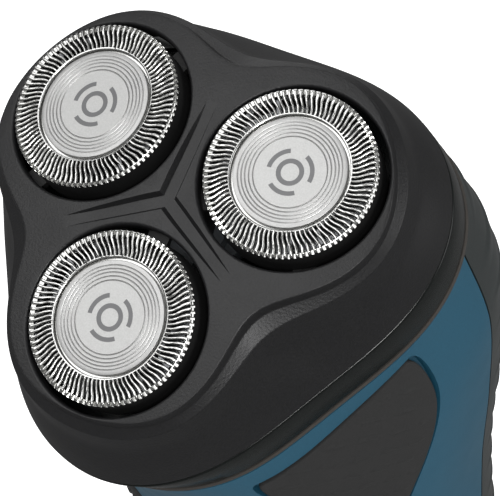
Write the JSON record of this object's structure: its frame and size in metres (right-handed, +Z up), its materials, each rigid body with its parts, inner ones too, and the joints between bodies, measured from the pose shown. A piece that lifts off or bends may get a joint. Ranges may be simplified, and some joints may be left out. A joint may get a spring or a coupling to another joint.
{
  "type": "electric shaver",
  "caption": "Cordless rotary electric shaver: floating round cutting heads in a tilted shaving unit that hinges open, on an upright tapered handle with rubber grips and a flat foot.",
  "frame": {"origin": "middle of the flat resting face under the handle", "axes": "+Z up along the handle, the shaving heads face up and towards -Y, +X to the right seen from the front"},
  "size_m": [0.065, 0.0635, 0.1562],
  "materials": {
    "black_plastic": "moulded, fine spark texture",
    "gloss_black": "polished moulding",
    "inner_plastic": "moulded, plain",
    "blue_plastic": "satin painted moulding",
    "grip_rubber": "moulded with fine dashes",
    "seal_rubber": "moulded",
    "cap_steel": "bright, slotted",
    "satin_steel": "satin with fine turned grooves",
    "blade_steel": "ground",
    "gear_plastic": "moulded, natural acetal",
    "motor_steel": "zinc plated",
    "brass": "stamped",
    "cell_wrap": "shrink-wrapped cell",
    "circuit_board": "solder mask over glass fibre",
    "lens_clear": "clear polycarbonate"
  },
  "bodies": {
    "handle": {"hair_chamber": "gloss_black", "gear_plate": "inner_plastic", "gear_plate_screw_right": "motor_steel", "gear_plate_screw_left": "motor_steel", "gear_plate_screw_front": "motor_steel", "motor_can": "motor_steel", "spindle_seal_right": "seal_rubber", "spindle_seal_left": "seal_rubber", "spindle_seal_front": "seal_rubber", "neck_gasket": "seal_rubber", "front_shell": "blue_plastic", "rear_shell": "black_plastic", "grip_inlay_right": "grip_rubber", "grip_inlay_left": "grip_rubber", "base_cap": "black_plastic", "base_screw_left": "motor_steel", "base_screw_right": "motor_steel", "charging_socket": "gloss_black", "socket_pin_left": "brass", "socket_pin_right": "brass", "battery_cell_left": "cell_wrap", "battery_cell_right": "cell_wrap", "battery_contact_top": "brass", "battery_contact_left": "brass", "battery_contact_right": "brass", "inner_chassis": "inner_plastic", "circuit_board": "circuit_board", "power_switch": "inner_plastic", "charge_light": "lens_clear"},
    "shaving_unit": {"head_cover": "black_plastic", "cover_hinge_pin": "motor_steel", "retaining_frame": "inner_plastic"},
    "lock": {"retaining_lock": "inner_plastic"},
    "rotor": {"motor_rotor": "motor_steel", "motor_pinion": "brass"},
    "power_button": {"power_button": "black_plastic"},
    "release_button": {"release_button": "black_plastic"},
    "cap_right": {"cap_guard_right": "cap_steel", "cap_disc_right": "satin_steel"},
    "cutter_right": {"cutter_right": "blade_steel"},
    "gear_right": {"drive_gear_right": "gear_plastic"},
    "spindle_right": {"drive_spindle_right": "gear_plastic"},
    "cap_left": {"cap_guard_left": "cap_steel", "cap_disc_left": "satin_steel"},
    "cutter_left": {"cutter_left": "blade_steel"},
    "gear_left": {"drive_gear_left": "gear_plastic"},
    "spindle_left": {"drive_spindle_left": "gear_plastic"},
    "cap_front": {"cap_guard_front": "cap_steel", "cap_disc_front": "satin_steel"},
    "cutter_front": {"cutter_front": "blade_steel"},
    "gear_front": {"drive_gear_front": "gear_plastic"},
    "spindle_front": {"drive_spindle_front": "gear_plastic"}
  },
  "joints": [
    {"name": "shaving_unit_open", "type": "hinge", "parent": "handle", "child": "shaving_unit", "pos_m": [0, 0.013, 0.14385], "axis": [-1, 0, 0], "range_deg": [0, 100]},
    {"name": "retaining_lock_turn", "type": "hinge", "parent": "shaving_unit", "child": "lock", "pos_m": [0, -0.01027, 0.13752], "axis": [0, -0.3746, 0.9272], "range_deg": [0, 90]},
    {"name": "motor_spin", "type": "hinge", "parent": "handle", "child": "rotor", "pos_m": [0, -0.00326, 0.12018], "axis": [0, -0.3746, 0.9272], "continuous": true},
    {"name": "power_button_press", "type": "slide", "parent": "handle", "child": "power_button", "axis": [0, 1, 0], "range_m": [0, 0.0006], "stiffness_N_per_m": 900},
    {"name": "release_button_press", "type": "slide", "parent": "handle", "child": "release_button", "axis": [0, 0.9272, 0.3746], "range_m": [0, 0.001], "stiffness_N_per_m": 900},
    {"name": "cap_right_float", "type": "slide", "parent": "shaving_unit", "child": "cap_right", "axis": [-0.1055, 0.3153, -0.9431], "range_m": [0, 0.0015], "stiffness_N_per_m": 700},
    {"name": "cutter_right_spin", "type": "hinge", "parent": "cap_right", "child": "cutter_right", "pos_m": [0.01432, -0.00683, 0.1511], "axis": [0.1055, -0.3153, 0.9431], "continuous": true},
    {"name": "gear_right_spin", "type": "hinge", "parent": "handle", "child": "gear_right", "pos_m": [0.01206, -0.00007, 0.13086], "axis": [0, -0.3746, 0.9272], "continuous": true},
    {"name": "spindle_right_spin", "type": "hinge", "parent": "handle", "child": "spindle_right", "pos_m": [0.01432, -0.00683, 0.1511], "axis": [0.1055, -0.3153, 0.9431], "continuous": true},
    {"name": "cap_left_float", "type": "slide", "parent": "shaving_unit", "child": "cap_left", "axis": [0.1055, 0.3153, -0.9431], "range_m": [0, 0.0015], "stiffness_N_per_m": 700},
    {"name": "cutter_left_spin", "type": "hinge", "parent": "cap_left", "child": "cutter_left", "pos_m": [-0.01432, -0.00683, 0.1511], "axis": [-0.1055, -0.3153, 0.9431], "continuous": true},
    {"name": "gear_left_spin", "type": "hinge", "parent": "handle", "child": "gear_left", "pos_m": [-0.01206, -0.00007, 0.13086], "axis": [0, -0.3746, 0.9272], "continuous": true},
    {"name": "spindle_left_spin", "type": "hinge", "parent": "handle", "child": "spindle_left", "pos_m": [-0.01432, -0.00683, 0.1511], "axis": [-0.1055, -0.3153, 0.9431], "continuous": true},
    {"name": "cap_front_float", "type": "slide", "parent": "shaving_unit", "child": "cap_front", "axis": [0, 0.4848, -0.8746], "range_m": [0, 0.0015], "stiffness_N_per_m": 700},
    {"name": "cutter_front_spin", "type": "hinge", "parent": "cap_front", "child": "cutter_front", "pos_m": [0, -0.02984, 0.1418], "axis": [0, -0.4848, 0.8746], "continuous": true},
    {"name": "gear_front_spin", "type": "hinge", "parent": "handle", "child": "gear_front", "pos_m": [0, -0.01943, 0.12304], "axis": [0, -0.3746, 0.9272], "continuous": true},
    {"name": "spindle_front_spin", "type": "hinge", "parent": "handle", "child": "spindle_front", "pos_m": [0, -0.02984, 0.1418], "axis": [0, -0.4848, 0.8746], "continuous": true}
  ],
  "couplings": [
    {"joint": "gear_right_spin", "follows": "motor_spin", "ratio": -0.37143},
    {"joint": "spindle_right_spin", "follows": "motor_spin", "ratio": -0.37143},
    {"joint": "cutter_right_spin", "follows": "motor_spin", "ratio": -0.37143},
    {"joint": "gear_left_spin", "follows": "motor_spin", "ratio": -0.37143},
    {"joint": "spindle_left_spin", "follows": "motor_spin", "ratio": -0.37143},
    {"joint": "cutter_left_spin", "follows": "motor_spin", "ratio": -0.37143},
    {"joint": "gear_front_spin", "follows": "motor_spin", "ratio": -0.37143},
    {"joint": "spindle_front_spin", "follows": "motor_spin", "ratio": -0.37143},
    {"joint": "cutter_front_spin", "follows": "motor_spin", "ratio": -0.37143}
  ]
}
